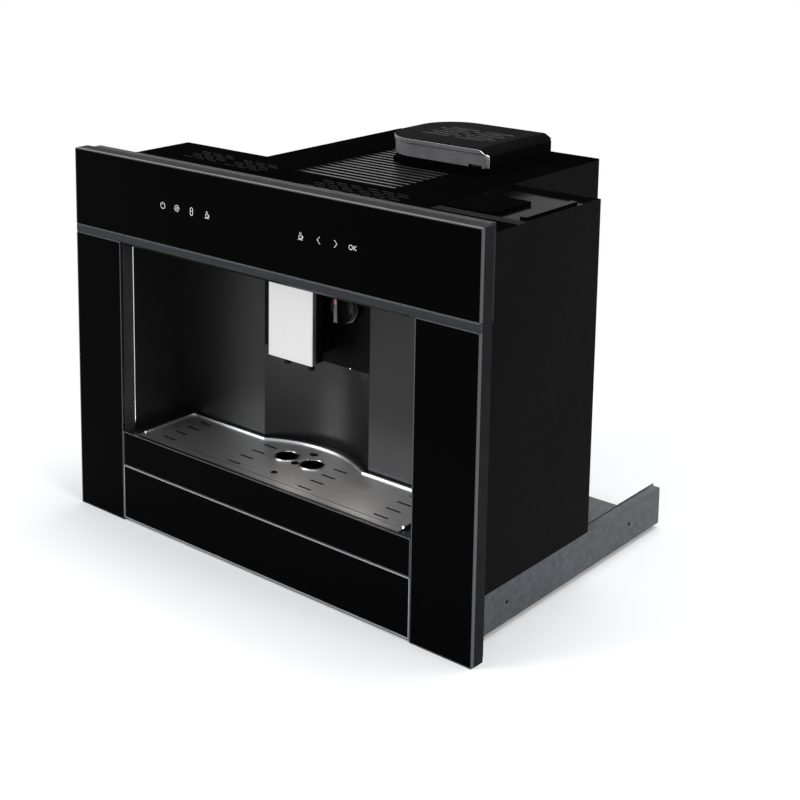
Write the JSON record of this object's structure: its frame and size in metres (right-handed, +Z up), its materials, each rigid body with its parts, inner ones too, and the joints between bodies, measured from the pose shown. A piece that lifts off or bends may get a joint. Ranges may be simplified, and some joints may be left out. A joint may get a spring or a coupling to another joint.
{
  "type": "built-in coffee machine",
  "caption": "Built-in bean-to-cup coffee machine with a black glass front, open cup bay, drip tray, bean hopper, side water tank and pull-out runners.",
  "frame": {"origin": "under the middle of the machine: centre of its width and depth, at the bottom of the front", "axes": "+X to the right of someone facing the front, +Y from the front to the back, +Z up"},
  "size_m": [0.595, 0.44, 0.471],
  "materials": {
    "black_glass": "gloss black printed glass, back coated",
    "aluminium_edge": "satin anodised edge profile",
    "satin_bar": "dark satin anodised bar",
    "frame_plastic": "dark grey moulded frame",
    "bay_plastic": "black moulded liner, fine grain",
    "black_plastic": "black moulded plastic",
    "black_sheet": "black powder-coated steel sheet",
    "brushed_steel": "brushed stainless steel",
    "chrome_ring": "bright chrome plating",
    "zinc_steel": "bright zinc-plated steel",
    "lamp_lens": "frosted clear lens",
    "circuit_board": "green circuit board with parts",
    "rubber": "black rubber",
    "smoky_tank": "smoky clear moulded tank",
    "grey_lid": "dark grey moulded lid",
    "grey_plastic": "grey moulded plastic",
    "hopper_clear": "smoky clear moulded hopper",
    "boiler_alloy": "cast aluminium",
    "burr_steel": "hardened steel",
    "motor_can": "dark painted motor can",
    "milky_pipe": "rigid milky pipe with moulded elbows",
    "pressure_pipe": "rigid white pressure pipe",
    "brass": "machined brass",
    "float_red": "red moulded float",
    "switch_black": "gloss black rocker"
  },
  "bodies": {
    "housing": {"front_frame": "frame_plastic", "fascia_trim": "aluminium_edge", "control_glass": "black_glass", "column_trims": "aluminium_edge", "column_glass_left": "black_glass", "column_glass_right": "black_glass", "satin_bar": "satin_bar", "control_box": "black_plastic", "control_board": "circuit_board", "bay_liner": "bay_plastic", "bay_bead": "aluminium_edge", "brew_head": "black_plastic", "lamp_lenses": "lamp_lens", "hot_water_valve": "brass", "base_plate": "zinc_steel", "rubber_feet": "rubber", "runners_inner": "zinc_steel", "left_cover": "black_sheet", "right_cover": "black_sheet", "rear_cover": "black_sheet", "rear_screws": "zinc_steel", "top_cover": "black_sheet", "ribbed_pan": "black_plastic", "bean_hopper": "hopper_clear", "grinder_housing": "grey_plastic", "grinder_shelf": "zinc_steel", "grinder_motor": "motor_can", "brew_unit": "grey_plastic", "boiler": "boiler_alloy", "pump": "motor_can", "suction_pipe": "milky_pipe", "pressure_pipe": "pressure_pipe", "power_board": "circuit_board", "power_inlet": "black_plastic"},
    "spout": {"spout_cover": "brushed_steel", "spout_body": "black_plastic", "spout_outlets": "black_plastic"},
    "hot_water_knob": {"knob": "black_plastic", "knob_ring": "chrome_ring", "knob_shaft": "zinc_steel"},
    "tray": {"drip_tray": "bay_plastic", "tray_front_trim": "aluminium_edge", "tray_front_glass": "black_glass"},
    "grille": {"drip_grille": "brushed_steel"},
    "float": {"tray_float": "float_red"},
    "drawer": {"grounds_drawer": "black_plastic", "drawer_front_trim": "aluminium_edge", "drawer_front_glass": "black_glass", "grounds_bin": "grey_plastic"},
    "hopper_lid": {"bean_lid": "black_plastic"},
    "dial": {"grind_dial": "grey_plastic"},
    "burr": {"grinder_burr": "burr_steel"},
    "piston": {"brew_piston": "grey_plastic"},
    "tank": {"water_tank": "smoky_tank"},
    "filler_lid": {"tank_lid": "grey_lid"},
    "rocker": {"main_switch": "switch_black"},
    "middle_left": {"runner_middle_left": "zinc_steel"},
    "middle_right": {"runner_middle_right": "zinc_steel"},
    "outer_left": {"runner_outer_left": "zinc_steel"},
    "outer_right": {"runner_outer_right": "zinc_steel"}
  },
  "joints": [
    {"name": "spout_height", "type": "slide", "parent": "housing", "child": "spout", "axis": [0, 0, 1], "range_m": [-0.045, 0.018]},
    {"name": "hot_water_turn", "type": "hinge", "parent": "housing", "child": "hot_water_knob", "pos_m": [0.048, -0.12, 0.3035], "axis": [0, -1, 0], "range_deg": [0, 90]},
    {"name": "tray_pull", "type": "slide", "parent": "housing", "child": "tray", "axis": [0, -1, 0], "range_m": [0, 0.14]},
    {"name": "grille_lift", "type": "slide", "parent": "tray", "child": "grille", "axis": [0, 0, 1], "range_m": [0, 0.05]},
    {"name": "float_rise", "type": "slide", "parent": "tray", "child": "float", "axis": [0, 0, 1], "range_m": [0, 0.008]},
    {"name": "drawer_pull", "type": "slide", "parent": "housing", "child": "drawer", "axis": [0, -1, 0], "range_m": [0, 0.165]},
    {"name": "hopper_lid_lift", "type": "slide", "parent": "housing", "child": "hopper_lid", "axis": [0, 0, 1], "range_m": [0, 0.08]},
    {"name": "grind_setting", "type": "hinge", "parent": "housing", "child": "dial", "pos_m": [0.058, 0.1065, 0.355], "axis": [0, 0, 1], "range_deg": [0, 180]},
    {"name": "burr_spin", "type": "hinge", "parent": "housing", "child": "burr", "pos_m": [0.058, 0.1065, 0.31], "axis": [0, 0, 1], "continuous": true},
    {"name": "piston_press", "type": "slide", "parent": "housing", "child": "piston", "axis": [0, 0, -1], "range_m": [0, 0.025]},
    {"name": "tank_lift", "type": "slide", "parent": "housing", "child": "tank", "axis": [0, 0, 1], "range_m": [0, 0.19]},
    {"name": "filler_lid_open", "type": "hinge", "parent": "tank", "child": "filler_lid", "pos_m": [0.198, -0.0302, 0.4364], "axis": [-1, 0, 0], "range_deg": [0, 90]},
    {"name": "main_switch_rock", "type": "hinge", "parent": "housing", "child": "rocker", "pos_m": [-0.067, 0.215, 0.385], "axis": [1, 0, 0], "range_deg": [-8, 8]},
    {"name": "left_outer_slide", "type": "slide", "parent": "housing", "child": "outer_left", "axis": [0, 1, 0], "range_m": [0, 0.35]},
    {"name": "left_middle_slide", "type": "slide", "parent": "housing", "child": "middle_left", "axis": [0, 1, 0], "range_m": [0, 0.175]},
    {"name": "right_outer_slide", "type": "slide", "parent": "housing", "child": "outer_right", "axis": [0, 1, 0], "range_m": [0, 0.35]},
    {"name": "right_middle_slide", "type": "slide", "parent": "housing", "child": "middle_right", "axis": [0, 1, 0], "range_m": [0, 0.175]}
  ],
  "couplings": [
    {"joint": "left_middle_slide", "follows": "left_outer_slide", "ratio": 0.5},
    {"joint": "right_outer_slide", "follows": "left_outer_slide", "ratio": 1},
    {"joint": "right_middle_slide", "follows": "left_outer_slide", "ratio": 0.5}
  ]
}
